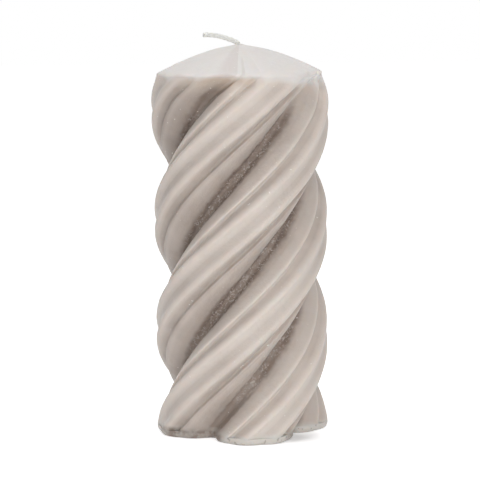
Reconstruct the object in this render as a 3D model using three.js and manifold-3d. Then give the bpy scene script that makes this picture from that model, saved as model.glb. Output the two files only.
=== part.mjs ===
// Twisted pillar candle.
// Four fluted lobes wind up a wax pillar that ends in a low dome. A second, thinner pour levels
// its base, a braided wick runs through it, and a metal sustainer holds the wick's lower end.
// Millimetres, +Z up, origin on the axis at the middle of the base, front of the candle to -Y.

import * as THREE from 'three';
import { mergeVertices } from 'three/addons/utils/BufferGeometryUtils.js';
import Module from 'manifold-3d';

const wasm = await Module();
wasm.setup();

// Heights of the candle
const waxHeight = 188.7; // base to the tip of the dome
const domeRise = 12.5; // rim to the tip of the dome
const footThickness = 3.4; // levelling pour under the main pour

// Twist
const lobeCount = 4;
const turnHeight = 213.5; // height in which a lobe would go once round
const baseHeading = -83.5; // direction of one lobe at the base, in degrees from +X

// Section of one lobe, mirrored about the lobe's own centre line. Widths lie across that line,
// reaches are measured from the candle's axis.
const lobeReach = 42; // to the two crests of the broad ridge, at the base
const crestSpacing = 13.4; // between those two crests
const crownDip = 0.75; // hollow between them
const ridgeWidth = 22; // broad ridge, where its sides drop into the flutes
const fluteSpacing = 24.6; // between the bottoms of the two flutes beside the ridge
const fluteReach = 36.3; // to the bottom of a flute
const ribSpacing = 29.8; // between the crests of the two thin ribs beside the flutes
const ribReach = 37.6; // to the crest of a rib
const lobeWidth = 37.4; // across the two straight flanks
const shoulderHeight = 27.5; // along the lobe, where a flank starts to round over to its rib
const valleyFillet = 2.6; // radius in the bottom of the valley between two lobes

// How the section changes over the height
const topFlare = 1.9; // gained by every reach up to the rim
const flarePower = 4.9; // 1 would gain it evenly, more gains it later
const rimDraw = 1.95; // lost again by every reach in the soft turn under the rim
const drawHeight = 20; // height of that turn
const fluteEnd = 6; // height under the rim in which flutes and ribs close up
const fluteLeft = 0.25; // share of their depth that goes on over the rim
const valleyEnd = 15; // the same for the valleys
const valleyLeft = 0.4;
const valleyLean = 10; // degrees that a closing valley leans towards the next lobe
const leanSpan = 40; // degrees over which the right half of a lobe joins in that lean
const rimRound = 2; // radius between that turn and the dome
const domePower = 1.57; // 1 would be a straight cone, 2 a parabola

// Levelling pour
const footProud = 0.5; // how far its lip stands out past the lobes
const footRound = 1.2; // radius of the lip's lower edge
const dishRadius = 17; // sink that the main pour left round the wick, filled by this one
const dishDepth = 6;

// Wick
const wickDiameter = 2.4;
const wickBendRadius = 2.6;
const wickBendAngle = 65; // degrees from upright
const wickBendDepth = 1; // how far under the tip the bend starts
const stubSpan = 17.2; // from the axis to the wick's cut end
const stubRise = 4.9; // of the cut end over the tip
const mouthRadius = 2.1; // pull mark in the wax round the wick
const mouthDepth = 0.9;

// Sustainer
const tabRadius = 9.5;
const tabThickness = 0.35;
const tabLift = 0.3; // of the tab over the candle's base
const neckHeight = 5;
const neckWall = 0.35;

const clearance = 0.3; // between pieces that are cut by one another

// Fineness of the facets
const facetsPerSpan = 1; // between two neighbouring corners of the section
const wallSteps = 36;
const closingSteps = 9;
const rimSteps = 3;
const domeSteps = 9;
const lipSteps = 3;
const bendSteps = 4;
const wickSides = 8;
const wickSteps = 80;
const roundSides = 32;

// Sizes that follow
const rimHeight = waxHeight - domeRise;
const wickRadius = wickDiameter / 2;
const boreRadius = wickRadius + clearance;
const neckRadius = boreRadius + neckWall;
const tabTop = tabLift + tabThickness;
const beyond = domeRise; // how far a cutter runs past what it cuts
const degree = Math.PI / 180;
const quarterRound = Math.PI / 2;

const wax = new THREE.MeshStandardMaterial({ color: 0xcdc3b9, roughness: 0.55, metalness: 0 });
const pouredWax = new THREE.MeshStandardMaterial({ color: 0xc3b8ae, roughness: 0.5, metalness: 0 });
const cotton = new THREE.MeshStandardMaterial({ color: 0xf1eee2, roughness: 0.9, metalness: 0 });
const tinplate = new THREE.MeshStandardMaterial({ color: 0xb9bbbd, roughness: 0.35, metalness: 1 });

// Corner of the section at a distance across the lobe and a reach from the axis.
function corner(across, reach) {
  return new THREE.Vector2(across, Math.sqrt(reach ** 2 - across ** 2));
}

// Point between two others.
function between(a, b, share) {
  return new THREE.Vector2().lerpVectors(a, b, share);
}

// Half of one lobe, from the middle of its crown to the middle of the valley, with the broad
// ridge and its flute, or with both levelled over.
function halfLobe(fluted) {
  const flank = lobeWidth / 2;
  const halfAngle = Math.PI / lobeCount;
  const crest = corner(crestSpacing / 2, lobeReach);
  const crown = new THREE.Vector2(0, crest.y - crownDip);
  const flute = corner(fluteSpacing / 2, fluteReach);
  const ridgeSide = new THREE.Vector2(ridgeWidth / 2, between(crest, flute, 0.55).y);
  const rib = corner(ribSpacing / 2, ribReach);
  const shoulder = new THREE.Vector2(flank, shoulderHeight);
  const valleyStart = new THREE.Vector2(flank, (flank + valleyFillet) / Math.tan(halfAngle));
  const valleyReach = flank / Math.sin(halfAngle) + valleyFillet * (1 / Math.sin(halfAngle) - 1);
  const ridge = [
    crown,
    between(crown, crest, 0.5).add(new THREE.Vector2(0, -crownDip / 4)),
    crest,
    between(crest, ridgeSide, 0.5).add(new THREE.Vector2(0.7, 0.7)),
    ridgeSide,
    flute,
  ];
  const levelled = [
    new THREE.Vector2(0, crest.y),
    crest,
    between(crest, rib, 0.5).add(new THREE.Vector2(crownDip, crownDip)),
  ];
  return new THREE.SplineCurve([
    ...(fluted ? ridge : levelled),
    rib,
    between(rib, shoulder, 0.35).add(new THREE.Vector2(0.5, 0.4)),
    between(rib, shoulder, 0.7).add(new THREE.Vector2(0.5, 0.2)),
    shoulder,
    between(shoulder, valleyStart, 0.55),
    valleyStart,
    new THREE.Vector2(valleyReach * Math.sin(halfAngle), valleyReach * Math.cos(halfAngle)),
  ]);
}

// A whole section: for each point its turn from the first lobe's centre line, its turn from its
// own lobe's centre line, and its reach.
function sectionPoints(fluted) {
  const curve = halfLobe(fluted);
  const half = curve.getPoints((curve.points.length - 1) * facetsPerSpan);
  const right = half.map((p) => ({ turn: Math.atan2(p.x, p.y), reach: p.length() }));
  const left = right.slice(1).reverse().map((p) => ({ turn: -p.turn, reach: p.reach }));
  const lobe = [...left, ...right.slice(0, -1)];
  const points = [];
  for (let i = 0; i < lobeCount; i += 1) {
    const heading = (2 * Math.PI * i) / lobeCount;
    points.push(...lobe.map((p) => ({ turn: heading + p.turn, own: p.turn, reach: p.reach })));
  }
  return points;
}

const flutedSection = sectionPoints(true);
const levelledSection = sectionPoints(false);
const valleyDepth = ribReach - Math.min(...flutedSection.map((point) => point.reach));

// Smooth step from 0 to 1.
function ease(share) {
  return THREE.MathUtils.smoothstep(share, 0, 1);
}

// Turn of the section at a height, in radians.
function headingAt(height) {
  return (baseHeading + (360 * height) / turnHeight) * degree;
}

// How far a groove has closed at a height under the rim.
function closing(height, span, left) {
  return (1 - left) * ease((height - rimHeight + span) / span);
}

// A section point on the wall at a height. Under the rim the flutes and the valleys close, so
// that the rim is nearly round. The valleys lean over to the next lobe there, and the right half
// of each lobe goes with them.
function onWall(point, height) {
  const shallow = Math.min(lobeReach - point.reach, lobeReach - ribReach);
  const deep = Math.max(0, ribReach - point.reach);
  const valleyClosed = closing(height, valleyEnd, valleyLeft);
  const joined = Math.min(1, point.own / (leanSpan * degree));
  const sway = Math.max(deep / valleyDepth, joined);
  const lean = valleyLean * degree * (valleyClosed / (1 - valleyLeft)) * sway;
  const flare = topFlare * (height / rimHeight) ** flarePower;
  const drawn = rimDraw * Math.max(0, (height - rimHeight + drawHeight) / drawHeight) ** 2;
  const filled = shallow * closing(height, fluteEnd, fluteLeft) + deep * valleyClosed;
  return { turn: point.turn + lean, reach: point.reach + filled + flare - drawn };
}

// A ring of section points at a height, the whole section turned to a heading.
function ringAt(points, height, heading) {
  return points.map(({ turn, reach }) => (
    new THREE.Vector3(reach * Math.cos(heading + turn), reach * Math.sin(heading + turn), height)
  ));
}

// Section points drawn in by a distance.
function drawnIn(points, inset) {
  return points.map(({ turn, reach }) => ({ turn, reach: reach - inset }));
}

// Ring of the twisted wall at a height.
function wallRing(height, inset = 0) {
  const points = flutedSection.map((point) => onWall(point, height));
  return ringAt(drawnIn(points, inset), height, headingAt(height));
}

// Rings of the twisted wall, up to where the rim's round starts. They lie closer together where
// the grooves close.
function wallRings() {
  const top = rimHeight - rimRound;
  const closingStart = rimHeight - valleyEnd;
  const rings = [];
  for (let i = 0; i < wallSteps; i += 1) {
    rings.push(wallRing(THREE.MathUtils.lerp(footThickness, closingStart, i / wallSteps)));
  }
  for (let i = 0; i <= closingSteps; i += 1) {
    rings.push(wallRing(THREE.MathUtils.lerp(closingStart, top, i / closingSteps)));
  }
  return rings;
}

// Rings of the round between the wall and the dome, an eighth of a circle.
function rimRings() {
  const rings = [];
  for (let i = 1; i <= rimSteps; i += 1) {
    const angle = (quarterRound / 2) * (i / rimSteps);
    const height = rimHeight - rimRound * (1 - Math.sin(angle));
    rings.push(wallRing(height, rimRound * (1 - Math.cos(angle))));
  }
  return rings;
}

// Rings of the dome. What is left of the grooves runs straight up it and fades towards the tip.
function domeRings() {
  const rings = [];
  const inset = rimRound * (Math.SQRT2 - 1) * Math.SQRT2;
  const edge = drawnIn(flutedSection.map((point) => onWall(point, rimHeight)), inset);
  const roundReach = Math.max(...edge.map((point) => point.reach));
  for (let i = 0; i < domeSteps; i += 1) {
    const share = 1 - i / domeSteps;
    const height = rimHeight + domeRise * (1 - share ** domePower);
    const points = edge.map(({ turn, reach }) => (
      { turn, reach: share * THREE.MathUtils.lerp(roundReach, reach, ease(share)) }
    ));
    rings.push(ringAt(points, height, headingAt(rimHeight)));
  }
  return rings;
}

// Closed solid through rings of equal length, lowest first, with a flat cap below and a cap
// drawn to one point above.
function loft(rings, tipHeight) {
  const count = rings[0].length;
  const points = rings.flat();
  const faces = [];
  for (let r = 0; r < rings.length - 1; r += 1) {
    for (let i = 0; i < count; i += 1) {
      const next = (i + 1) % count;
      const low = r * count;
      const high = low + count;
      faces.push(low + i, low + next, high + next);
      faces.push(low + i, high + next, high + i);
    }
  }
  const lastRing = (rings.length - 1) * count;
  const baseCentre = points.push(new THREE.Vector3(0, 0, rings[0][0].z)) - 1;
  const tip = points.push(new THREE.Vector3(0, 0, tipHeight)) - 1;
  for (let i = 0; i < count; i += 1) {
    const next = (i + 1) % count;
    faces.push(baseCentre, next, i);
    faces.push(tip, lastRing + i, lastRing + next);
  }
  const geometry = new THREE.BufferGeometry().setFromPoints(points);
  geometry.setIndex(faces);
  return geometry;
}

// Solid of revolution from [radius, height] points that start and end on the axis, or that
// close on themselves.
function revolved(profile, sides = roundSides) {
  const points = profile.map(([radius, height]) => new THREE.Vector2(radius, height));
  return new THREE.LatheGeometry(points, sides).rotateX(quarterRound);
}

// Upright cylinder between two heights.
function upright(radius, low, high, sides = roundSides) {
  return revolved([[0, low], [radius, low], [radius, high], [0, high]], sides);
}

function toSolid(geometry) {
  geometry.deleteAttribute('normal');
  geometry.deleteAttribute('uv');
  const merged = mergeVertices(geometry);
  const corners = [];
  for (let i = 0; i < merged.index.count; i += 3) {
    const [a, b, c] = [0, 1, 2].map((k) => merged.index.getX(i + k));
    if (a !== b && b !== c && c !== a) corners.push(a, b, c);
  }
  return new wasm.Manifold(new wasm.Mesh({
    numProp: 3,
    vertProperties: new Float32Array(merged.attributes.position.array),
    triVerts: new Uint32Array(corners),
  }));
}

function toGeometry(solid) {
  const mesh = solid.getMesh();
  const geometry = new THREE.BufferGeometry();
  geometry.setAttribute('position', new THREE.BufferAttribute(mesh.vertProperties, 3));
  geometry.setIndex(Array.from(mesh.triVerts));
  return geometry;
}

// The sink in the underside of the main pour, drawn in all round by a margin.
function dish(margin) {
  const low = footThickness - footRound;
  const radius = dishRadius - margin;
  const depth = dishDepth - margin;
  const profile = [[0, low], [radius, low]];
  for (let i = 0; i <= lipSteps; i += 1) {
    const angle = quarterRound * (i / (lipSteps + 1));
    profile.push([radius * Math.cos(angle), footThickness + depth * Math.sin(angle)]);
  }
  profile.push([0, footThickness + depth]);
  return toSolid(revolved(profile));
}

// Main pour: twisted wall, rounded rim and dome, with the wick's bore and the sink below.
function waxBody() {
  const outside = toSolid(loft([...wallRings(), ...rimRings(), ...domeRings()], waxHeight));
  const bore = toSolid(upright(boreRadius, 0, waxHeight + beyond, wickSides * 2));
  const mouth = toSolid(revolved([
    [0, waxHeight - mouthDepth],
    [boreRadius, waxHeight - mouthDepth],
    [mouthRadius, waxHeight],
    [mouthRadius, waxHeight + beyond],
    [0, waxHeight + beyond],
  ], wickSides * 2));
  return toGeometry(outside.subtract(dish(0)).subtract(bore).subtract(mouth));
}

// Levelling pour: a low plate with the lobes' outline and rounded lip, and a plug in the sink.
function footPour() {
  const heading = headingAt(footThickness);
  const rings = [];
  for (let i = 0; i <= lipSteps; i += 1) {
    const angle = quarterRound * (i / lipSteps);
    const inset = footRound * (1 - Math.sin(angle));
    const height = footRound * (1 - Math.cos(angle));
    rings.push(ringAt(drawnIn(levelledSection, inset - footProud), height, heading));
  }
  const lipTop = footThickness - footProud;
  rings.push(ringAt(drawnIn(levelledSection, -footProud), lipTop, heading));
  rings.push(ringAt(levelledSection, footThickness, heading));
  const plate = toSolid(loft(rings, footThickness));
  const bore = toSolid(upright(neckRadius + clearance, -beyond, footThickness + beyond, wickSides * 2));
  const recess = toSolid(upright(tabRadius + clearance, -beyond, tabTop));
  return toGeometry(plate.add(dish(clearance)).subtract(bore).subtract(recess));
}

// Tinned tab with a crimped neck round the lower end of the wick.
function wickSustainer() {
  return revolved([
    [boreRadius, tabLift],
    [tabRadius, tabLift],
    [tabRadius, tabTop],
    [neckRadius, tabTop],
    [neckRadius, tabTop + neckHeight],
    [boreRadius, tabTop + neckHeight],
    [boreRadius, tabLift],
  ]);
}

// Route of the wick: straight up the bore, over in a tight bend, and out level to its cut end.
function wickRoute() {
  const bendHeight = waxHeight - wickBendDepth;
  const points = [new THREE.Vector3(0, 0, tabLift)];
  for (let i = 1; i <= 3; i += 1) {
    points.push(new THREE.Vector3(0, 0, bendHeight - (3 - i) * wickBendRadius));
  }
  for (let i = 1; i <= bendSteps; i += 1) {
    const angle = wickBendAngle * degree * (i / bendSteps);
    const x = wickBendRadius * (Math.cos(angle) - 1);
    points.push(new THREE.Vector3(x, 0, bendHeight + wickBendRadius * Math.sin(angle)));
  }
  points.push(new THREE.Vector3(-stubSpan * 0.36, 0, waxHeight + stubRise * 0.65));
  points.push(new THREE.Vector3(-stubSpan * 0.7, 0, waxHeight + stubRise * 0.95));
  points.push(new THREE.Vector3(-stubSpan, 0, waxHeight + stubRise));
  return new THREE.CatmullRomCurve3(points);
}

function wick() {
  const outline = new THREE.Shape();
  outline.absarc(0, 0, wickRadius, 0, 2 * Math.PI);
  return new THREE.ExtrudeGeometry(new THREE.Shape(outline.getSpacedPoints(wickSides)), {
    steps: wickSteps,
    extrudePath: wickRoute(),
  });
}

function piece(name, geometry, material) {
  const mesh = new THREE.Mesh(geometry, material);
  mesh.name = name;
  return mesh;
}

const candle = new THREE.Group();
candle.add(piece('wax_body', waxBody(), wax));
candle.add(piece('foot_pour', footPour(), pouredWax));
candle.add(piece('wick', wick(), cotton));
candle.add(piece('wick_sustainer', wickSustainer(), tinplate));

export default candle;
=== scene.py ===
# %% [markdown]
# # A twisted pillar candle
# This lesson dresses a poured candle: a fluted pillar of greige wax that winds up to a low dome, a
# thinner pour that levels its base, and a braided wick. The solids of the candle come first, as a
# fixed frame. Each piece made here stands in the same place and has the same size as its solid.

# %% The frame
import math
import bmesh
import bpy
from mathutils import Matrix, Vector
from mathutils.noise import noise as soft_noise


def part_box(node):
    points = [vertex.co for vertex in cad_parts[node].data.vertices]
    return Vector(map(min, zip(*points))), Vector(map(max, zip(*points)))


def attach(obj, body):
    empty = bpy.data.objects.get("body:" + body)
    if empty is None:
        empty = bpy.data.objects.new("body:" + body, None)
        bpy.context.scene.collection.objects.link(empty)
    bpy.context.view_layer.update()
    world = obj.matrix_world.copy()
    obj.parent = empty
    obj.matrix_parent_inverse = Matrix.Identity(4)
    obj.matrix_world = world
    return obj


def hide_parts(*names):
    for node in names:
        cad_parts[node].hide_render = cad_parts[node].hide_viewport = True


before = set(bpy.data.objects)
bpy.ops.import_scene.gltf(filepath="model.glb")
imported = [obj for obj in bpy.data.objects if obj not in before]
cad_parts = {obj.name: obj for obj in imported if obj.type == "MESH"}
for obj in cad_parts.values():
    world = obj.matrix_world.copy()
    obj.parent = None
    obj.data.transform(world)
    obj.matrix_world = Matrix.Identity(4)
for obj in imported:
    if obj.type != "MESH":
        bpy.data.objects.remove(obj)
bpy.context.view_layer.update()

MM = 0.001

# %% [markdown]
# ## Sizes
# A pillar like this is one section that turns as it rises, so a handful of sizes gives all of it.
# They are written once, in metres, and everything below is worked out from them. Widths lie across
# a lobe's own centre line, and reaches are measured from the candle's axis.

# %% Sizes of the pillar
FOOT_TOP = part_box("wax_body")[0].z
TIP_HEIGHT = 188.7 * MM
DOME_RISE = 12.5 * MM
DOME_POWER = 1.57
RIM_HEIGHT = TIP_HEIGHT - DOME_RISE

LOBES = 4
TURN_HEIGHT = 213.5 * MM
BASE_HEADING = math.radians(-83.5)

LOBE_REACH = 42 * MM
CREST_SPACING = 13.4 * MM
CROWN_DIP = 0.75 * MM
RIDGE_WIDTH = 22 * MM
FLUTE_SPACING = 24.6 * MM
FLUTE_REACH = 36.3 * MM
RIB_SPACING = 29.8 * MM
RIB_REACH = 37.6 * MM
LOBE_WIDTH = 37.4 * MM
SHOULDER_HEIGHT = 27.5 * MM
VALLEY_FILLET = 2.6 * MM

RIDGE_DROP = 0.55
RIDGE_BULGE = Vector((0.7, 0.7)) * MM
RIB_BULGES = [(0.35, Vector((0.5, 0.4)) * MM), (0.7, Vector((0.5, 0.2)) * MM)]
FLANK_MIDDLE = 0.55

TOP_FLARE = 1.9 * MM
FLARE_POWER = 4.9
RIM_DRAW = 1.95 * MM
DRAW_HEIGHT = 20 * MM
FLUTE_END = 6 * MM
FLUTE_LEFT = 0.25
VALLEY_END = 15 * MM
VALLEY_LEFT = 0.4
VALLEY_LEAN = math.radians(10)
SWAY_SPAN = math.radians(40)
RIM_ROUND = 2 * MM

print("rim at", round(RIM_HEIGHT / MM, 1), "mm, one turn in", round(TURN_HEIGHT / MM, 1), "mm")

# %% [markdown]
# ## Camera
# The candle was photographed from just above its middle with a long lens, which keeps its sides
# nearly upright. The camera stands a metre away, looks down seven degrees and leans half a degree,
# as the picture does.

# %% Camera
CAMERA_DISTANCE = 1072.8 * MM
CAMERA_HEIGHT = 227.4 * MM
CAMERA_PITCH = math.radians(-7.106)
CAMERA_YAW = math.radians(0.028)
CAMERA_LEAN = math.radians(-0.54)
LENS = 166.1
SENSOR = 36

bpy.ops.object.select_all(action="DESELECT")
bpy.ops.object.camera_add(location=(0, -CAMERA_DISTANCE, CAMERA_HEIGHT))
camera = bpy.context.object
camera.name = "photo_camera"
camera.data.lens = LENS
camera.data.sensor_width = SENSOR
aim = Matrix.Rotation(CAMERA_YAW, 4, "Z") @ Matrix.Rotation(math.pi / 2 + CAMERA_PITCH, 4, "X")
camera.rotation_euler = (aim @ Matrix.Rotation(CAMERA_LEAN, 4, "Z")).to_euler()
bpy.context.scene.camera = camera
print("camera looks", [round(c, 3) for c in aim @ Vector((0, 0, -1))])

# %% [markdown]
# ## Helpers for materials
# Each finish is a small node tree. These helpers add a node, join two sockets and keep the
# object's own coordinates at hand, so that a pattern stays where it is on the piece.

# %% Helpers for materials
def new_material(name):
    """A material with its Principled shader, ready to be wired."""
    material = bpy.data.materials.new(name)
    material.use_nodes = True
    return material, material.node_tree, material.node_tree.nodes["Principled BSDF"]


def add_node(tree, kind, **settings):
    """A node of a kind, with its properties set."""
    node = tree.nodes.new(kind)
    for key, value in settings.items():
        setattr(node, key, value)
    return node


def noise(tree, place, scale, detail=2.0, roughness=0.5):
    """Soft noise with this many spots in a metre."""
    node = add_node(tree, "ShaderNodeTexNoise")
    node.inputs["Scale"].default_value = scale
    node.inputs["Detail"].default_value = detail
    node.inputs["Roughness"].default_value = roughness
    tree.links.new(place, node.inputs["Vector"])
    return node.outputs["Fac"]


def remap(tree, value, low, high, to_low, to_high):
    """Stretches a span of values to another span and clamps what lies outside."""
    node = add_node(tree, "ShaderNodeMapRange")
    node.inputs["From Min"].default_value = low
    node.inputs["From Max"].default_value = high
    node.inputs["To Min"].default_value = to_low
    node.inputs["To Max"].default_value = to_high
    tree.links.new(value, node.inputs["Value"])
    return node.outputs["Result"]


def combine(tree, operation, first, second):
    """Two values joined by a math operation. Either may be a plain number."""
    node = add_node(tree, "ShaderNodeMath", operation=operation)
    for socket, value in zip(node.inputs, (first, second)):
        if isinstance(value, (int, float)):
            socket.default_value = value
        else:
            tree.links.new(value, socket)
    return node.outputs["Value"]


def times(tree, first, second):
    """Product of two values."""
    return combine(tree, "MULTIPLY", first, second)


def blend(tree, share, first, second):
    """Colour between two colours, each a tuple or a socket."""
    node = add_node(tree, "ShaderNodeMix", data_type="RGBA")
    tree.links.new(share, node.inputs["Factor"])
    for socket, colour in ((node.inputs["A"], first), (node.inputs["B"], second)):
        if isinstance(colour, tuple):
            socket.default_value = (*colour, 1)
        else:
            tree.links.new(colour, socket)
    return node.outputs["Result"]


def ramp(tree, share, stops):
    """Colour from a ramp of (share, colour) stops."""
    node = add_node(tree, "ShaderNodeValToRGB")
    for _ in stops[2:]:
        node.color_ramp.elements.new(0.5)
    for element, (position, colour) in zip(node.color_ramp.elements, stops):
        element.position = position
        element.color = (*colour, 1)
    tree.links.new(share, node.inputs["Fac"])
    return node.outputs["Color"]


def bump(tree, height, depth, normal=None):
    """Bump of a depth in metres, over another one where it is given."""
    node = add_node(tree, "ShaderNodeBump")
    node.inputs["Distance"].default_value = depth
    tree.links.new(height, node.inputs["Height"])
    if normal is not None:
        tree.links.new(normal, node.inputs["Normal"])
    return node.outputs["Normal"]


def own_place(tree):
    """Place on the object itself, in metres."""
    return add_node(tree, "ShaderNodeTexCoord").outputs["Object"]


def split(tree, vector):
    """X, Y and Z of a vector, by name."""
    node = add_node(tree, "ShaderNodeSeparateXYZ")
    tree.links.new(vector, node.inputs["Vector"])
    return node.outputs


def mark_on(tree, name):
    """Mark that the mesh carries on its vertices under a name."""
    return add_node(tree, "ShaderNodeAttribute", attribute_name=name).outputs["Fac"]


def seen_rays(tree):
    """1 for rays that show the background: from the camera, off gloss and through glass."""
    path = add_node(tree, "ShaderNodeLightPath")
    seen = combine(tree, "MAXIMUM", path.outputs["Is Camera Ray"], path.outputs["Is Glossy Ray"])
    return combine(tree, "MAXIMUM", seen, path.outputs["Is Transmission Ray"])


print("material helpers ready")

# %% [markdown]
# ## Floor and light
# The candle stands on a white sweep in a soft white tent, so nearly all the shading on it comes
# from its own hollows. A white world does that, and it is dimmer on the far right, so that the
# right edge falls off a little. A broad softbox in front and to the right lifts the side that
# faces the camera, and another one overhead brightens the dome. The floor is white for the camera.
# It glows a little less round a point by the notch between the front and the right lobe, which
# paints a faint shadow of the candle there.

# %% World
TENT_LIGHT = 0.455
TENT_COLOUR = (0.985, 0.98, 0.985)
TENT_RIGHT_SHARE = 0.3
TENT_RIGHT_START = 0.4

bpy.context.scene.view_settings.view_transform = "Standard"
world = bpy.data.worlds.new("white_tent")
bpy.context.scene.world = world
world.use_nodes = True
tree = world.node_tree
tree.nodes.clear()
lighting = add_node(tree, "ShaderNodeBackground")
lighting.inputs["Color"].default_value = (*TENT_COLOUR, 1)
direction = split(tree, add_node(tree, "ShaderNodeTexCoord").outputs["Generated"])
tent_right = TENT_LIGHT * TENT_RIGHT_SHARE
from_side = remap(tree, direction["X"], TENT_RIGHT_START, 1, TENT_LIGHT, tent_right)
tree.links.new(from_side, lighting.inputs["Strength"])
backdrop = add_node(tree, "ShaderNodeBackground")
backdrop.inputs["Color"].default_value = (1, 1, 1, 1)
choose = add_node(tree, "ShaderNodeMixShader")
tree.links.new(seen_rays(tree), choose.inputs["Fac"])
tree.links.new(lighting.outputs["Background"], choose.inputs[1])
tree.links.new(backdrop.outputs["Background"], choose.inputs[2])
tree.links.new(choose.outputs["Shader"], add_node(tree, "ShaderNodeOutputWorld").inputs["Surface"])
print("tent light:", TENT_LIGHT)

# %% Softboxes
FRONT_BOX = {"place": Vector((0.46, -1.61, 0.1)), "watts": 20.0, "size": 1.2}
TOP_BOX = {"place": Vector((-0.1, -0.1, 1.9)), "watts": 11.7, "size": 0.8}


def softbox(name, box):
    """A square area lamp that points at the middle of the candle."""
    bpy.ops.object.light_add(type="AREA", location=box["place"])
    lamp = bpy.context.object
    lamp.name = name
    lamp.data.energy = box["watts"]
    lamp.data.size = box["size"]
    towards = Vector((0, 0, TIP_HEIGHT / 2)) - box["place"]
    lamp.rotation_euler = towards.to_track_quat("-Z", "Y").to_euler()
    print(name, round(towards.length, 2), "m away")


softbox("front_softbox", FRONT_BOX)
softbox("top_softbox", TOP_BOX)

# %% Floor
FLOOR_SIZE = 8
FLOOR_WHITE = (0.86, 0.86, 0.86)
FLOOR_GLOW = 0.68
# The glow is lower round this place, which paints the faint shadow by the notch.
PAINTED_SHADOW_GLOW = 0.26
PAINTED_SHADOW_PLACE = (0.0245, -0.0225, 0)
PAINTED_SHADOW_START = 0.004
PAINTED_SHADOW_END = 0.02

bpy.ops.mesh.primitive_plane_add(size=FLOOR_SIZE)
floor = bpy.context.object
floor.name = "white_floor"
material, tree, shader = new_material("white_floor")
shader.inputs["Base Color"].default_value = (*FLOOR_WHITE, 1)
shader.inputs["Roughness"].default_value = 0.9
shader.inputs["Specular IOR Level"].default_value = 0
distance = add_node(tree, "ShaderNodeVectorMath", operation="DISTANCE")
distance.inputs[1].default_value = PAINTED_SHADOW_PLACE
tree.links.new(own_place(tree), distance.inputs[0])
glow = remap(tree, distance.outputs["Value"], PAINTED_SHADOW_START, PAINTED_SHADOW_END, PAINTED_SHADOW_GLOW, FLOOR_GLOW)
shader.inputs["Emission Color"].default_value = (1, 1, 1, 1)
tree.links.new(times(tree, seen_rays(tree), glow), shader.inputs["Emission Strength"])
floor.data.materials.append(material)
print("floor", FLOOR_SIZE, "m wide")

# %% [markdown]
# ## The section
# Seen from above the pillar has four lobes. Each has a broad ridge with two soft crests, a flute on
# either side of it, a thin rib beyond each flute, and straight flanks that meet the next lobe in a
# deep valley. Half of one lobe is enough: a smooth curve through a few corners, mirrored about the
# lobe's centre line and repeated. Ridges get three steps from corner to corner, and valleys, which
# are rough, get five.

# %% Half a lobe
def corner(across, reach):
    """Corner at a distance across the lobe and a reach from the axis, as (across, along)."""
    return Vector((across, math.sqrt(reach ** 2 - across ** 2)))


def valley_corners():
    """Corners from the rib down the flank to the middle of the valley."""
    flank = LOBE_WIDTH / 2
    half_angle = math.pi / LOBES
    rib = corner(RIB_SPACING / 2, RIB_REACH)
    shoulder = Vector((flank, SHOULDER_HEIGHT))
    valley_start = Vector((flank, (flank + VALLEY_FILLET) / math.tan(half_angle)))
    spread = 1 / math.sin(half_angle)
    valley_reach = flank * spread + VALLEY_FILLET * (spread - 1)
    return [
        rib,
        *[rib.lerp(shoulder, share) + bulge for share, bulge in RIB_BULGES],
        shoulder,
        shoulder.lerp(valley_start, FLANK_MIDDLE),
        valley_start,
        Vector((math.sin(half_angle), math.cos(half_angle))) * valley_reach,
    ]


def ridge_corners():
    """Corners from the middle of the broad ridge to the bottom of the flute."""
    crest = corner(CREST_SPACING / 2, LOBE_REACH)
    crown = Vector((0, crest.y - CROWN_DIP))
    flute = corner(FLUTE_SPACING / 2, FLUTE_REACH)
    ridge_side = Vector((RIDGE_WIDTH / 2, crest.lerp(flute, RIDGE_DROP).y))
    return [
        crown,
        crown.lerp(crest, 0.5) - Vector((0, CROWN_DIP / 4)),
        crest,
        crest.lerp(ridge_side, 0.5) + RIDGE_BULGE,
        ridge_side,
        flute,
    ]


def levelled_corners():
    """The same stretch of the levelling pour, which fills the flutes."""
    crest = corner(CREST_SPACING / 2, LOBE_REACH)
    rib = corner(RIB_SPACING / 2, RIB_REACH)
    dip = Vector((CROWN_DIP, CROWN_DIP))
    return [Vector((0, crest.y)), crest, crest.lerp(rib, 0.5) + dip]


print("corners in half a lobe:", len(ridge_corners() + valley_corners()))

# %% The whole section
RIDGE_STEPS = 3
VALLEY_STEPS = 5
VALLEY_SPANS = 3


def smooth_curve(corners, steps):
    """Points on a smooth curve through the corners, with the steps of each span."""
    padded = [corners[0], *corners, corners[-1]]
    points = [corners[0].copy()]
    for span, count in enumerate(steps):
        before, start, end, after = padded[span:span + 4]
        leave = (end - before) / 2
        arrive = (after - start) / 2
        for step in range(1, count + 1):
            t = step / count
            cubic = 2 * start - 2 * end + leave + arrive
            square = -3 * start + 3 * end - 2 * leave - arrive
            points.append(cubic * t ** 3 + square * t ** 2 + leave * t + start)
    return points


def section_points(corners):
    """(turn, reach) of every point round the section, from one lobe's valley on."""
    spans = len(corners) - 1
    steps = [RIDGE_STEPS] * (spans - VALLEY_SPANS) + [VALLEY_STEPS] * VALLEY_SPANS
    half = smooth_curve(corners, steps)
    right = [(math.atan2(point.x, point.y), point.length) for point in half]
    left = [(-turn, reach) for turn, reach in reversed(right[1:])]
    lobe = left + right[:-1]
    quarter = 2 * math.pi / LOBES
    return [(turn + quarter * n, reach) for n in range(LOBES) for turn, reach in lobe]


fluted_section = section_points(ridge_corners() + valley_corners())
levelled_section = section_points(levelled_corners() + valley_corners())
valley_depth = RIB_REACH - min(reach for _, reach in fluted_section)
print("points round the section:", len(fluted_section), "and", len(levelled_section))

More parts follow.
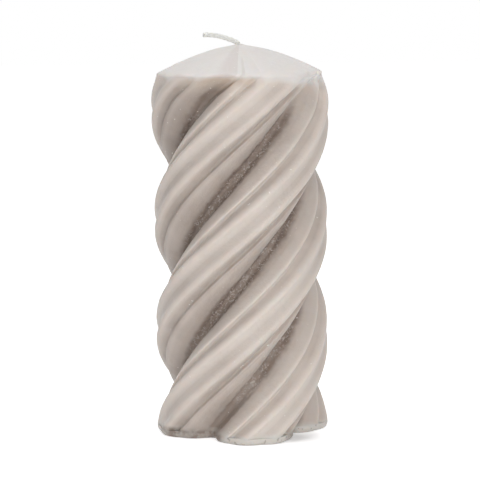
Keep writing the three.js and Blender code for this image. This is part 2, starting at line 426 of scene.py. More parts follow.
# %% [markdown]
# ## How the section changes on the way up
# The heading of the section grows evenly with the height, which makes the twist. Towards the rim
# the candle swells a little and draws in again. Just under it the flutes close. The valleys close
# more slowly, and while they do, the right half of each lobe leans over towards them. The same
# rule serves every point of the wall.

# %% Rule for the wall
def ease(share):
    """Smooth step from 0 to 1."""
    share = min(1, max(0, share))
    return share * share * (3 - 2 * share)


def heading_at(height):
    """Turn of the section at a height."""
    return BASE_HEADING + 2 * math.pi * height / TURN_HEIGHT


def own_turn(turn):
    """Turn of a section point from the middle of its own lobe."""
    quarter = 2 * math.pi / LOBES
    return (turn + quarter / 2) % quarter - quarter / 2


def on_wall(turn, reach, height):
    """(turn, reach) of a section point where it lies in the wall at a height."""
    shallow = min(LOBE_REACH - reach, LOBE_REACH - RIB_REACH)
    deep = max(0, RIB_REACH - reach)
    sway = max(deep / valley_depth, min(1, max(0, own_turn(turn) / SWAY_SPAN)))
    flute_closed = (1 - FLUTE_LEFT) * ease((height - RIM_HEIGHT + FLUTE_END) / FLUTE_END)
    valley_share = ease((height - RIM_HEIGHT + VALLEY_END) / VALLEY_END)
    filled = shallow * flute_closed + deep * (1 - VALLEY_LEFT) * valley_share
    lean = VALLEY_LEAN * valley_share * sway
    flare = TOP_FLARE * (height / RIM_HEIGHT) ** FLARE_POWER
    drawn = RIM_DRAW * max(0, (height - RIM_HEIGHT + DRAW_HEIGHT) / DRAW_HEIGHT) ** 2
    return turn + lean, reach + filled + flare - drawn


def at(turn, reach, height, heading):
    """Place of a section point in the candle's frame."""
    angle = heading + turn
    return Vector((reach * math.cos(angle), reach * math.sin(angle), height))


print("reach of a crest at the rim:", round(on_wall(0, LOBE_REACH, RIM_HEIGHT)[1] / MM, 2), "mm")

# %% [markdown]
# ## Helpers for modelling
# A ring of edges is the tool of this lesson. It starts as a circle, each vertex is moved to its
# place in the section, and the ring is extruded again and again. A new ring takes the vertices in
# the order of the old one, so a list of places, one for each vertex, puts it where it belongs.

# %% Helpers for modelling
SAME_HEIGHT = 1e-6
SAME_PLACE = 0.5e-6


def start_ring(name, places):
    """A circle primitive whose vertices are moved to the given places."""
    bpy.ops.object.select_all(action="DESELECT")
    bpy.ops.mesh.primitive_circle_add(vertices=len(places), radius=LOBE_REACH)
    piece = bpy.context.object
    piece.name = name
    for vertex, place in zip(piece.data.vertices, places):
        vertex.co = place
    return piece


def select_ring(piece, height):
    """Goes into edit mode with only the ring at a height selected."""
    bpy.ops.object.mode_set(mode="EDIT")
    bpy.ops.mesh.select_mode(type="EDGE")
    bpy.ops.mesh.select_all(action="DESELECT")
    mesh = bmesh.from_edit_mesh(piece.data)
    for edge in mesh.edges:
        edge.select_set(all(abs(vertex.co.z - height) < SAME_HEIGHT for vertex in edge.verts))
    bmesh.update_edit_mesh(piece.data)


def extrude_ring(piece, places):
    """Extrudes the selected ring and moves the new one to the given places."""
    bpy.ops.mesh.extrude_region_move()
    mesh = bmesh.from_edit_mesh(piece.data)
    mesh.verts.ensure_lookup_table()
    for vertex, place in zip(mesh.verts[-len(places):], places):
        vertex.co = place
    bmesh.update_edit_mesh(piece.data)


def finish_piece(piece, node):
    """Points the faces outwards, shades them smooth and lets the piece stand for its solid."""
    bpy.ops.object.mode_set(mode="EDIT")
    bpy.ops.mesh.select_all(action="SELECT")
    bpy.ops.mesh.remove_doubles(threshold=SAME_PLACE)
    bpy.ops.mesh.normals_make_consistent(inside=False)
    bpy.ops.object.mode_set(mode="OBJECT")
    bpy.ops.object.shade_smooth()
    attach(piece, "root")
    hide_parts(node)
    triangles = sum(len(face.vertices) - 2 for face in piece.data.polygons)
    print(piece.name, "has", triangles, "triangles")


print("modelling helpers ready")

# %% [markdown]
# ## The pillar
# The real pillar is one pour in a rubber mould. Its wall could be a prism under a twist modifier,
# but a Screw modifier does both in one step: it takes the section, turns it and lifts it. The
# section ring is a circle whose vertices are put on the curve.

# %% Wind up the wall
WALL_STEPS = 250
WALL_TOP = RIM_HEIGHT - RIM_ROUND
SEAM_ROUND = 0.04 * MM
WALL_LOW = FOOT_TOP + SEAM_ROUND

low_heading = heading_at(WALL_LOW)
pillar = start_ring("wax_pillar", [at(*point, WALL_LOW, low_heading) for point in fluted_section])
wind = pillar.modifiers.new("wind", "SCREW")
wind.angle = heading_at(WALL_TOP) - low_heading
wind.screw_offset = WALL_TOP - WALL_LOW
wind.steps = WALL_STEPS
wind.render_steps = WALL_STEPS
bpy.ops.object.modifier_apply(modifier="wind")
wound = math.degrees(heading_at(WALL_TOP) - low_heading)
print("wall:", len(pillar.data.vertices), "vertices, turned", round(wound), "degrees")

# %% [markdown]
# The wound wall still has the same section all the way up. Each vertex knows its height, and its
# place in the section follows from the ring it belongs to, so the rule for the wall can move it.

# %% Close the grooves under the rim
ring_size = len(fluted_section)
for vertex in pillar.data.vertices:
    turn, reach = on_wall(*fluted_section[vertex.index % ring_size], vertex.co.z)
    vertex.co = at(turn, reach, vertex.co.z, heading_at(vertex.co.z))
print("widest reach:", round(max(v.co.xy.length for v in pillar.data.vertices) / MM, 2), "mm")

# %% [markdown]
# The rim is an eighth of a circle between the wall and the dome. The dome is made of smaller and
# smaller rings. What is left of the grooves runs straight up it and fades towards the tip, where
# the wax climbs a little way up the wick.

# %% Rim and dome
RIM_STEPS = 5
DOME_STEPS = 22
BORE_RADIUS = 1.2 * MM
WICK_CLIMB = 0.5 * MM
CREASE_FADE = 1.15

select_ring(pillar, WALL_TOP)
for step in range(1, RIM_STEPS + 1):
    angle = math.pi / 4 * step / RIM_STEPS
    height = RIM_HEIGHT - RIM_ROUND * (1 - math.sin(angle))
    inset = RIM_ROUND * (1 - math.cos(angle))
    heading = heading_at(height)
    ring = [on_wall(*point, height) for point in fluted_section]
    extrude_ring(pillar, [at(turn, reach - inset, height, heading) for turn, reach in ring])

rim_inset = RIM_ROUND * (math.sqrt(2) - 1) * math.sqrt(2)
rim_edge = [on_wall(*point, RIM_HEIGHT) for point in fluted_section]
round_reach = max(reach for _, reach in rim_edge) - rim_inset
smallest_share = BORE_RADIUS / round_reach
rim_heading = heading_at(RIM_HEIGHT)
for step in range(DOME_STEPS + 1):
    share = 1 - (1 - smallest_share) * step / DOME_STEPS
    height = RIM_HEIGHT + DOME_RISE * (1 - share ** DOME_POWER)
    height += WICK_CLIMB * smallest_share / share
    fade = ease(share * CREASE_FADE)
    creased = [
        (turn, round_reach + (reach - rim_inset - round_reach) * fade) for turn, reach in rim_edge
    ]
    extrude_ring(pillar, [at(turn, share * reach, height, rim_heading) for turn, reach in creased])
print("dome closes to", round(BORE_RADIUS / MM, 2), "mm round the wick")

# %% [markdown]
# Below, the first pour sank a little as it cooled and left a shallow dish round the wick. The last
# ring goes straight down the wick's bore, and the dish is made from the wall's lowest ring. Both
# meet at the bottom of the bore.

# %% Bore and underside
DISH_RADIUS = 17 * MM
DISH_DEPTH = 6 * MM
DISH_STEPS = 4
SEAM_STEPS = ((0.3, 0.3), (1, 0))

bore_low = FOOT_TOP + DISH_DEPTH
rim_turns = [turn + rim_heading for turn, _ in rim_edge]
extrude_ring(pillar, [at(turn, BORE_RADIUS, bore_low, 0) for turn in rim_turns])
select_ring(pillar, WALL_LOW)
low_turns = [(turn + low_heading, reach) for turn, reach in fluted_section]
for inset, lift in SEAM_STEPS:
    drawn = SEAM_ROUND * inset
    height = FOOT_TOP + SEAM_ROUND * lift
    extrude_ring(pillar, [at(turn, reach - drawn, height, 0) for turn, reach in low_turns])
for step in range(DISH_STEPS + 1):
    angle = math.pi / 2 * step / (DISH_STEPS + 1)
    reach = DISH_RADIUS * math.cos(angle)
    height = FOOT_TOP + DISH_DEPTH * math.sin(angle)
    extrude_ring(pillar, [at(turn, reach, height, 0) for turn, _ in low_turns])
extrude_ring(pillar, [at(turn, BORE_RADIUS, bore_low, 0) for turn in rim_turns])
bpy.ops.object.mode_set(mode="OBJECT")
print("dish", round(DISH_DEPTH / MM, 1), "mm deep")

# %% [markdown]
# The floors of the valleys are rough, because the cooled wax tore there as the mould came off. On
# the left of the candle the tear fades out up the right flank of a lobe and ends in a crisp step at
# the next one, and on the right it is the other way round. This follows where the shade falls on
# each side, so the dark floors that these borders set are partly painted shade. A border is given
# as the degrees from the middle of a lobe where it starts and ends, and soft noise makes it ragged.
# High up, the floors reach further out on the left of the candle, and low down they draw back.

# %% Borders of the torn floors
RIGHT_FLANK_ON_LEFT = (36.2, 40)
RIGHT_FLANK_ON_RIGHT = (38.4, 40)
LEFT_FLANK_ON_LEFT = (35.4, 36.4)
LEFT_FLANK_ON_RIGHT = (35, 39.4)
HIGH_TEAR = 135 * MM
HIGH_TEAR_FADE = 15 * MM
HIGH_TEAR_GAIN = 2.2
LOW_TEAR = 90 * MM
LOW_TEAR_LOSS = 0.6
SIDE_CHANGE = 0.9
RAG_GRAIN = 2.6 * MM
FINE_RAG_SHARE = 0.6
FINE_RAG_TIMES = 2.1
LEFT_FLANK_RAG = 0.7
RIGHT_FLANK_RAG = 0.8
RIGHT_FLANK_RAG_GAIN = 1.6


def right_share(place):
    """0 on the left of the candle, 1 on its right, with a smooth change between."""
    return ease(0.5 + SIDE_CHANGE * place.x / place.xy.length)


def between(first, second, share):
    """Pair of numbers between two pairs."""
    return [a + (b - a) * share for a, b in zip(first, second)]


def torn_floor(index):
    """Share of a torn floor at a wall vertex, 0 to 1 over its border, and degrees inside it."""
    place = pillar.data.vertices[index].co
    share = right_share(place)
    own = math.degrees(own_turn(fluted_section[index % ring_size][0]))
    if own > 0:
        low_share = ease(1 - place.z / LOW_TEAR)
        start, end = between(RIGHT_FLANK_ON_LEFT, RIGHT_FLANK_ON_RIGHT, max(share, low_share))
        gain = -LOW_TEAR_LOSS * low_share
        rag = RIGHT_FLANK_RAG + RIGHT_FLANK_RAG_GAIN * share
    else:
        start, end = between(LEFT_FLANK_ON_LEFT, LEFT_FLANK_ON_RIGHT, share)
        high_share = ease((place.z - HIGH_TEAR) / HIGH_TEAR_FADE - share)
        gain = HIGH_TEAR_GAIN * (1 - 2 * share) * high_share
        rag = LEFT_FLANK_RAG
    fine = soft_noise(place / RAG_GRAIN * FINE_RAG_TIMES)
    shift = soft_noise(place / RAG_GRAIN) + FINE_RAG_SHARE * fine
    inside = abs(own) + gain + rag * shift - start
    return ease(inside / (end - start)), inside - (end - start)


wall_count = ring_size * (WALL_STEPS + 1)
floors = [torn_floor(index) for index in range(wall_count)]
print("wall vertices on torn floors:", sum(share > 0 for share, _ in floors))

# %% [markdown]
# The tear fades out near the base and under the rim. A vertex group says how rough each vertex is,
# and every torn vertex sinks a little towards the axis. An attribute keeps the same numbers for
# the material.

# %% Mark and sink the torn floors
TEAR_LOW = 9 * MM
TEAR_HIGH = 168 * MM
TEAR_FADE = 14 * MM
TEAR_SINK = 0.35 * MM


def tear_left(height):
    """How rough the tear still is at a height, from 0 to 1."""
    return ease((TEAR_HIGH - height) / TEAR_FADE) * ease((height - TEAR_LOW) / TEAR_FADE)


torn = [0.0] * len(pillar.data.vertices)
for index, (floor_share, _) in enumerate(floors):
    torn[index] = floor_share * tear_left(pillar.data.vertices[index].co.z)
group = pillar.vertex_groups.new(name="torn")
for index, weight in enumerate(torn):
    if weight > 0:
        group.add([index], weight, "REPLACE")
        vertex = pillar.data.vertices[index]
        vertex.co.xy *= 1 - TEAR_SINK * weight / vertex.co.xy.length
mark = pillar.data.attributes.new("torn_skin", "FLOAT", "POINT")
mark.data.foreach_set("value", torn)
print("torn vertices:", sum(weight > 0 for weight in torn))

# %% [markdown]
# The crests and ribs are painted pale and the flutes and valleys dark, which paints the light on
# the high parts of the section and the shade in its hollows. Every corner of the section gets a
# tone from 0, painted shade, to 1, painted light, in the order of its corners from the crown to the
# valley. The two sides of a lobe differ: its left flank stays pale down to the crisp edge of the
# torn floor. High on the left the tone is painted a little darker, and high and low on the right a
# little paler, to follow the light on each side.

# %% Painted light on crests and painted shade in hollows
# Tones of the corners: high ones paint light on crests and ribs, low ones paint shade in the
# hollows.
RIGHT_TONES = [0.50, 0.48, 0.80, 0.92, 0.45, 0.30, 0.34, 0.48, 0.37, 0.37, 0.34, 0.3, 0.3]
LEFT_TONES = [0.52, 0.88, 1.0, 0.62, 0.38, 0.5, 1.0, 0.5, 0.46, 0.42, 0.5, 0.4, 0.4]
PAINTED_LIGHT_LEFT = (-0.1, 90 * MM, 40 * MM)
PAINTED_LIGHT_RIGHT = (0.05, 140 * MM, 20 * MM)
PAINTED_LIGHT_SIDE = 0.4
PAINTED_LIGHT_LOW = 0.1
PAINTED_LIGHT_LOW_TOP = 95 * MM
PAINTED_LIGHT_LOW_FADE = 30 * MM


def side_tones(tones):
    """Tone of every point of half a lobe, in step with its points."""
    half = [tones[0]]
    for span in range(len(tones) - 1):
        count = VALLEY_STEPS if span >= len(tones) - 1 - VALLEY_SPANS else RIDGE_STEPS
        for step in range(1, count + 1):
            half.append(tones[span] + (tones[span + 1] - tones[span]) * step / count)
    return half


def painted_light_by_side(place):
    """Change of tone that paints light and shade by side: high on each side, and low on the right.
    """
    change, start, fade = PAINTED_LIGHT_RIGHT if place.x > 0 else PAINTED_LIGHT_LEFT
    side = ease((abs(place.x) / place.xy.length - PAINTED_LIGHT_SIDE) / PAINTED_LIGHT_SIDE)
    low = PAINTED_LIGHT_LOW * right_share(place) * ease((PAINTED_LIGHT_LOW_TOP - place.z) / PAINTED_LIGHT_LOW_FADE)
    return change * side * ease((place.z - start) / fade) + low


tones = (list(reversed(side_tones(LEFT_TONES)[1:])) + side_tones(RIGHT_TONES)[:-1]) * LOBES
print("tones round the section:", len(tones))

# %% [markdown]
# The tones run along the wall with the section, and near the rim they fade into a pale one, which
# paints the light there and reaches lower on the left flanks. A torn floor takes over from them
# with a dark, browner tone, partly the colour of the torn skin and partly painted shade, and it is
# darkest a degree or two inside its border, where it paints a shadow. Each of the four valleys has
# its own height where its dark floor ends, in the order back left, front left, right, back.

# %% Tone of every vertex
PLAIN_TONE = 0.5
# Near the rim the tones fade to this pale one, which paints the light there.
RIM_TONE = 1.0
RIM_TONE_FADE = 7 * MM
FLANK_FADE = 7 * MM
FLANK_START = 15
FLANK_SPAN = 4
HALF_LOBE = 180 / LOBES
DEEP_TOPS = [(172 * MM, 8 * MM), (175 * MM, 7 * MM), (167 * MM, 15 * MM), (170 * MM, 10 * MM)]
TOP_SLANT = 0.3 * MM
LOW_FLOOR_TONE = 0.09
LOW_FLOOR_TOP = 70 * MM
# A darker tone just inside the crisp border of a torn floor, which paints a shadow there.
PAINTED_EDGE_SHADOW = -0.2
EDGE_MIDDLE = 1.2
EDGE_REACH = 1.8
EDGE_LOW = 40 * MM
EDGE_FADE = 30 * MM


def tone_at(index, floor, place):
    """Tone of a point of the section, where its place and its share of a torn floor are known."""
    height = place.z
    own = math.degrees(own_turn(fluted_section[index][0]))
    rim_fade = RIM_TONE_FADE + FLANK_FADE * ease((-own - FLANK_START) / FLANK_SPAN)
    kept = ease((RIM_HEIGHT - height) / rim_fade)
    tone = RIM_TONE + (tones[index] - RIM_TONE) * kept + painted_light_by_side(place)
    lobe = (index + ring_size // (2 * LOBES)) * LOBES // ring_size
    top, fade = DEEP_TOPS[lobe % LOBES]
    top += TOP_SLANT * (own + HALF_LOBE if own < 0 else own - HALF_LOBE)
    share, inside = floor
    floor_left = share * ease((top - height) / fade)
    edge = max(0, 1 - abs(inside - EDGE_MIDDLE) / EDGE_REACH)
    edge *= ease((height - EDGE_LOW) / EDGE_FADE) * ease((top - height) / EDGE_FADE)
    painted_floor_shade = PAINTED_EDGE_SHADOW * edge + LOW_FLOOR_TONE * ease(1 - height / LOW_FLOOR_TOP)
    return tone * (1 - floor_left) + painted_floor_shade * floor_left


tone_marks = [PLAIN_TONE] * len(pillar.data.vertices)
for index in range(wall_count):
    tone_marks[index] = tone_at(index % ring_size, floors[index], pillar.data.vertices[index].co)
mark = pillar.data.attributes.new("tone", "FLOAT", "POINT")
mark.data.foreach_set("value", tone_marks)
print("tones go from", round(min(tone_marks), 2), "to", round(max(tone_marks), 2))

# %% [markdown]
# Three more marks are painted. Where grooves close under the rim, a warm colour paints the glow of
# light coming through the thin wax. On the dome the closed valleys show as creases, with painted
# shade on a wedge on one side of each. Round the base, darker brown patches paint the shade at the
# foot of the lobes, each with a direction and a half width in degrees, and a strength. Last, the
# whole wall gets a slight swell, which a hand-filled rubber mould leaves.

# %% Painted glow of the closures, painted shade on the creases and round the foot
# Depth and start of the painted glow where grooves close under the rim.
PAINTED_GLOW_DEPTH = 11 * MM
PAINTED_GLOW_START = 0.3
# The wedge beside each crease on the dome is painted duller, which paints shade on the groove wall
# that faces away from the light.
WEDGE_START = math.radians(29)
WEDGE_FULL = math.radians(36)
# Patches of painted shade at the foot of the lobes: direction, half width in degrees and strength.
FOOT_SHADE_HEIGHT = 6.5 * MM
FOOT_SHADE_FADE = 3.5 * MM
FOOT_SHADE_EDGE = 4
FOOT_SHADES = [(-135, 33, 1.0), (-42, 16, 0.7), (62, 26, 0.8)]


def foot_shade_at(place):
    """How much painted shade the foot has at a place, from 0 to 1."""
    turn = math.degrees(math.atan2(place.y, place.x))
    spots = [
        strength * ease(FOOT_SHADE_EDGE * (1 - abs((turn - middle + 180) % 360 - 180) / width))
        for middle, width, strength in FOOT_SHADES
    ]
    return max(spots) * ease((FOOT_SHADE_HEIGHT - place.z) / FOOT_SHADE_FADE)


def painted_glow_at(reach, height):
    """How much painted glow a groove gets at a reach in the section and a height."""
    hollow = ease((LOBE_REACH - reach) / (LOBE_REACH - FLUTE_REACH) - PAINTED_GLOW_START)
    return hollow * ease((height - RIM_HEIGHT + PAINTED_GLOW_DEPTH) / PAINTED_GLOW_DEPTH)


warm, wedge, foot_shade = [], [], []
for index, vertex in enumerate(pillar.data.vertices):
    turn, reach = fluted_section[index % ring_size]
    on_the_wall = index < wall_count
    beside = ease((own_turn(turn) - WEDGE_START) / (WEDGE_FULL - WEDGE_START))
    warm.append(painted_glow_at(reach, vertex.co.z) if on_the_wall else 0)
    wedge.append(0 if on_the_wall else beside)
    foot_shade.append(foot_shade_at(vertex.co))
for name, values in (("warm", warm), ("wedge", wedge), ("foot_shade", foot_shade)):
    pillar.data.attributes.new(name, "FLOAT", "POINT").data.foreach_set("value", values)
print("stained vertices:", sum(value > 0 for value in foot_shade))

# %% Displace the floors and the whole wall
NOISE_DEPTH = 2


def uneven(piece, name, grain, depth, group, middle=0.5):
    """Pushes a piece in and out by soft noise of a grain size, and applies it."""
    texture = bpy.data.textures.new(name, "CLOUDS")
    texture.noise_scale = grain
    texture.noise_depth = NOISE_DEPTH
    modifier = piece.modifiers.new(name, "DISPLACE")
    modifier.texture = texture
    modifier.texture_coords = "LOCAL"
    modifier.strength = depth
    modifier.mid_level = middle
    modifier.vertex_group = group
    bpy.context.view_layer.objects.active = piece
    bpy.ops.object.modifier_apply(modifier=name)


uneven(pillar, "torn_lumps", grain=1.9 * MM, depth=0.9 * MM, middle=0.6, group="torn")
uneven(pillar, "torn_grains", grain=0.8 * MM, depth=0.8 * MM, group="torn")
outside_count = wall_count + ring_size * (RIM_STEPS + DOME_STEPS + 1)
outside = pillar.vertex_groups.new(name="outside")
for index in range(outside_count):
    outside.add([index], ease((pillar.data.vertices[index].co.z - FOOT_TOP) / FOOT_TOP), "REPLACE")
uneven(pillar, "hand_poured", grain=19 * MM, depth=0.5 * MM, middle=0.25, group="outside")
finish_piece(pillar, "wax_body")

# %% [markdown]
# ## Wax
# The wax is a greige paraffin with a satin skin, and light goes a millimetre or two into it, which
# softens every shadow and warms the deep ones. Its colour drifts a little from pour marks. The torn
# floors are matt and browner, and their dark colour also paints the shade in the valleys, with
# flecks of white bloom on their high grains.

# %% Colours of the wax
# The palest colour paints the light on crests and ribs, and the deep one paints the shade in flutes
# and valleys.
WAX_PAINTED_LIGHT = (0.75, 0.676, 0.617)
WAX_PLAIN = (0.608, 0.537, 0.485)
WAX_PAINTED_SHADE = (0.285, 0.225, 0.190)
# The darkest colour paints a shadow just inside the crisp borders of the torn floors.
WAX_PAINTED_EDGE_SHADOW = (0.17, 0.125, 0.105)
# A warm colour that paints the glow of light through thin wax.
WAX_PAINTED_GLOW = (0.64, 0.52, 0.415)
# The dome's pale colour paints the light it catches from above.
WAX_DOME_PAINTED_LIGHT = (0.75, 0.717, 0.69)
# A duller colour that paints shade on one side of each crease on the dome.
WAX_PAINTED_WEDGE_SHADE = (0.69, 0.645, 0.62)
WAX_BLOOM = (0.54, 0.49, 0.45)
WAX_SPECK = (0.86, 0.83, 0.79)
POUR_LIGHT = (0.68, 0.645, 0.60)
# Dark brown for dust bits on the pour, and for patches of painted shade at the foot of the lobes.
POUR_SHADE_AND_DUST = (0.30, 0.242, 0.205)


def foot_shade_on(tree, place):
    """How much the painted shade round the foot darkens the wax here, in clouds."""
    clouds = remap(tree, noise(tree, place, 240, detail=3, roughness=0.6), 0.35, 0.55, 0.5, 1)
    return times(tree, mark_on(tree, "foot_shade"), clouds)


def let_light_in(shader):
    """Lets light go into a wax as far as it does in paraffin."""
    shader.inputs["Subsurface Weight"].default_value = 0.4
    shader.inputs["Subsurface Radius"].default_value = (1.0, 0.62, 0.42)
    shader.inputs["Subsurface Scale"].default_value = 1.5 * MM
    shader.inputs["IOR"].default_value = 1.44


print("colours of the wax ready")

# %% [markdown]
# The pillar's colour is laid in layers: the tone of the section, with its painted light and shade,
# the painted glow of the closures, the dome, painted pale for the light it catches from above, the
# pale seam over the levelling pour, the painted shade round the foot, and the bloom and specks on
# top. The border of the dome wanders a little and hangs lower on the right, which spreads its
# painted light further down there.

# %% Colour of the pillar
TONE_DRIFT = 0.08
TONE_LOW = -0.25
PAINTED_GLOW_SHARE = 0.8
LINE_WANDER = 1.2 * MM
# The dome's pale border reaches lower on the right, which spreads the painted light further down
# there.
DOME_DROP_START = 12 * MM
DOME_DROP_END = 36 * MM
DOME_DROP_DEPTH = 6 * MM
DOME_START = RIM_HEIGHT - 3 * MM
DOME_FULL = RIM_HEIGHT - 0.3 * MM
SEAM_HEIGHT = 2.5 * MM
SEAM_SHARE = 0.8
BLOOM_SHARE = 0.85
SPECK_SHARE = 0.8

wax, tree, shader = new_material("greige_wax")
place = own_place(tree)
torn_here = mark_on(tree, "torn_skin")
drift = remap(tree, noise(tree, place, 60, detail=3), 0.3, 0.7, -TONE_DRIFT, TONE_DRIFT)
shifted = combine(tree, "ADD", mark_on(tree, "tone"), drift)
stops = [(0, WAX_PAINTED_EDGE_SHADOW), (0.2, WAX_PAINTED_SHADE), (0.6, WAX_PLAIN), (1, WAX_PAINTED_LIGHT)]
tone = ramp(tree, remap(tree, shifted, TONE_LOW, 1, 0, 1), stops)
tone = blend(tree, times(tree, mark_on(tree, "warm"), PAINTED_GLOW_SHARE), tone, WAX_PAINTED_GLOW)
sides = split(tree, place)
wander = remap(tree, noise(tree, place, 90, detail=2), 0.3, 0.7, -LINE_WANDER, LINE_WANDER)
height = combine(tree, "ADD", sides["Z"], wander)
dome_line = combine(tree, "ADD", height, remap(tree, sides["X"], DOME_DROP_START, DOME_DROP_END, 0, DOME_DROP_DEPTH))
on_dome = remap(tree, dome_line, DOME_START, DOME_FULL, 0, 1)
tone = blend(tree, on_dome, tone, blend(tree, mark_on(tree, "wedge"), WAX_DOME_PAINTED_LIGHT, WAX_PAINTED_WEDGE_SHADE))
seam = remap(tree, height, FOOT_TOP, FOOT_TOP + SEAM_HEIGHT, SEAM_SHARE, 0)
tone = blend(tree, seam, tone, POUR_LIGHT)
tone = blend(tree, foot_shade_on(tree, place), tone, POUR_SHADE_AND_DUST)
flecks = remap(tree, noise(tree, place, 900, detail=3, roughness=0.7), 0.52, 0.6, 0, 1)
patches = remap(tree, noise(tree, place, 260, detail=2), 0.4, 0.6, 0.1, 1)
well_inside = remap(tree, torn_here, 0.6, 1, 0, 1)
bloom = times(tree, times(tree, flecks, patches), well_inside)
tone = blend(tree, times(tree, bloom, BLOOM_SHARE), tone, WAX_BLOOM)
specks = remap(tree, noise(tree, place, 620, detail=1), 0.765, 0.785, 0, SPECK_SHARE)
tone = blend(tree, specks, tone, WAX_SPECK)
tree.links.new(tone, shader.inputs["Base Color"])
print("nodes for the colour:", len(tree.nodes))

# %% [markdown]
# The skin is satin where the mould touched it and matt where it tore. It has fine pores and a soft
# swell, and a thin bloom that catches light at a flat angle.

# %% Skin of the pillar
TORN_ROUGHNESS = 0.8
PORE_DEPTH = 0.08 * MM
SWELL_DEPTH = 0.35 * MM

skin = remap(tree, noise(tree, place, 260, detail=3), 0.3, 0.7, 0.42, 0.56)
rough = combine(tree, "MAXIMUM", skin, times(tree, torn_here, TORN_ROUGHNESS))
tree.links.new(rough, shader.inputs["Roughness"])
pores = bump(tree, noise(tree, place, 2600, detail=2), PORE_DEPTH)
swell = bump(tree, noise(tree, place, 320, detail=2), SWELL_DEPTH, pores)
tree.links.new(swell, shader.inputs["Normal"])
let_light_in(shader)
shader.inputs["Sheen Weight"].default_value = 0.2
shader.inputs["Sheen Roughness"].default_value = 0.35
pillar.data.materials.append(wax)
print("wax nodes:", len(tree.nodes))

# %% [markdown]
# ## The levelling pour
# After the pillar had cooled, a second pour filled the sink round the wick and made the base flat.
# It fills the flutes, stands a hair proud of the lobes and is rounded underneath, and it was poured
# warmer, so its skin is glossier. It is one ring, taken round its lip, up over the plug that fills
# the sink and down to the recess of the tab.

# %% Levelling pour
FOOT_PROUD = 0.04 * MM
FOOT_ROUND = 2.4 * MM
LIP_STEPS = 7
SIDE_SHARES = (0.3, 0.6, 1)
PLUG_GAP = 0.3 * MM
TAB_RECESS_RADIUS = 9.8 * MM
TAB_RECESS_DEPTH = 0.65 * MM
NECK_BORE_RADIUS = 2.15 * MM

foot_heading = heading_at(FOOT_TOP)
foot_turns = [(turn + foot_heading, reach) for turn, reach in levelled_section]


def foot_ring(drawn, height):
    """Ring of the levelling pour, drawn in from its widest line."""
    return [at(turn, reach + FOOT_PROUD - drawn, height, 0) for turn, reach in foot_turns]


def foot_circle(radius, height):
    """Round ring of the levelling pour, with as many vertices."""
    return [at(turn, radius, height, 0) for turn, _ in foot_turns]


foot = start_ring("levelling_pour", foot_ring(FOOT_ROUND, 0))
select_ring(foot, 0)
for step in range(1, LIP_STEPS + 1):
    angle = math.pi / 2 * step / LIP_STEPS
    drawn = FOOT_ROUND * (1 - math.sin(angle))
    extrude_ring(foot, foot_ring(drawn, FOOT_ROUND * (1 - math.cos(angle))))
side_top = FOOT_TOP - FOOT_PROUD
for share in SIDE_SHARES:
    extrude_ring(foot, foot_ring(0, FOOT_ROUND + (side_top - FOOT_ROUND) * share))
for step in range(1, LIP_STEPS + 1):
    angle = math.pi / 2 * step / LIP_STEPS
    drawn = FOOT_PROUD * (1 - math.cos(angle))
    extrude_ring(foot, foot_ring(drawn, side_top + FOOT_PROUD * math.sin(angle)))
print("lip rings:", 2 * LIP_STEPS + len(SIDE_SHARES))

# %% Plug and recess of the levelling pour
PLUG_STEPS = 4

plug_radius = DISH_RADIUS - PLUG_GAP
plug_depth = DISH_DEPTH - PLUG_GAP
for step in range(PLUG_STEPS + 1):
    angle = math.pi / 2 * step / (PLUG_STEPS + 1)
    height = FOOT_TOP + plug_depth * math.sin(angle)
    extrude_ring(foot, foot_circle(plug_radius * math.cos(angle), height))
extrude_ring(foot, foot_circle(NECK_BORE_RADIUS, FOOT_TOP + plug_depth))
extrude_ring(foot, foot_circle(NECK_BORE_RADIUS, TAB_RECESS_DEPTH))
extrude_ring(foot, foot_circle(TAB_RECESS_RADIUS, TAB_RECESS_DEPTH))
extrude_ring(foot, foot_circle(TAB_RECESS_RADIUS, 0))
extrude_ring(foot, foot_ring(FOOT_ROUND * 2, 0))
extrude_ring(foot, foot_ring(FOOT_ROUND, 0))
bpy.ops.object.mode_set(mode="OBJECT")

lip = foot.vertex_groups.new(name="lip")
for vertex in foot.data.vertices:
    if vertex.co.xy.length > DISH_RADIUS + PLUG_GAP:
        low_share = ease(vertex.co.z / FOOT_ROUND)
        top_share = ease((FOOT_TOP - vertex.co.z) / FOOT_ROUND)
        lip.add([vertex.index], low_share * top_share, "REPLACE")
foot_shade = [foot_shade_at(vertex.co) for vertex in foot.data.vertices]
foot.data.attributes.new("foot_shade", "FLOAT", "POINT").data.foreach_set("value", foot_shade)
uneven(foot, "poured_lip", grain=7 * MM, depth=0.9 * MM, group="lip", middle=0.55)
uneven(foot, "lip_bits", grain=1.8 * MM, depth=0.35 * MM, group="lip")
finish_piece(foot, "foot_pour")

# %% [markdown]
# The second pour is the same wax with fewer marks. Bits of brown dust stick to it, patches of the
# same dark colour paint the shade at the foot of the lobes, and its skin keeps the ripples of the
# pour.

# %% Wax of the levelling pour
BITS_SHARE = 0.55
RIPPLE_DEPTH = 0.3 * MM

pour_wax, tree, shader = new_material("levelling_wax")
place = own_place(tree)
bits = remap(tree, noise(tree, place, 520, detail=2), 0.6, 0.66, 0, BITS_SHARE)
shade_and_dust = combine(tree, "MAXIMUM", foot_shade_on(tree, place), bits)
tree.links.new(blend(tree, shade_and_dust, POUR_LIGHT, POUR_SHADE_AND_DUST), shader.inputs["Base Color"])
skin = remap(tree, noise(tree, place, 400, detail=2), 0.3, 0.7, 0.3, 0.48)
tree.links.new(skin, shader.inputs["Roughness"])
ripples = bump(tree, noise(tree, place, 700, detail=3), RIPPLE_DEPTH)
tree.links.new(ripples, shader.inputs["Normal"])
let_light_in(shader)
foot.data.materials.append(pour_wax)
print("levelling wax nodes:", len(tree.nodes))

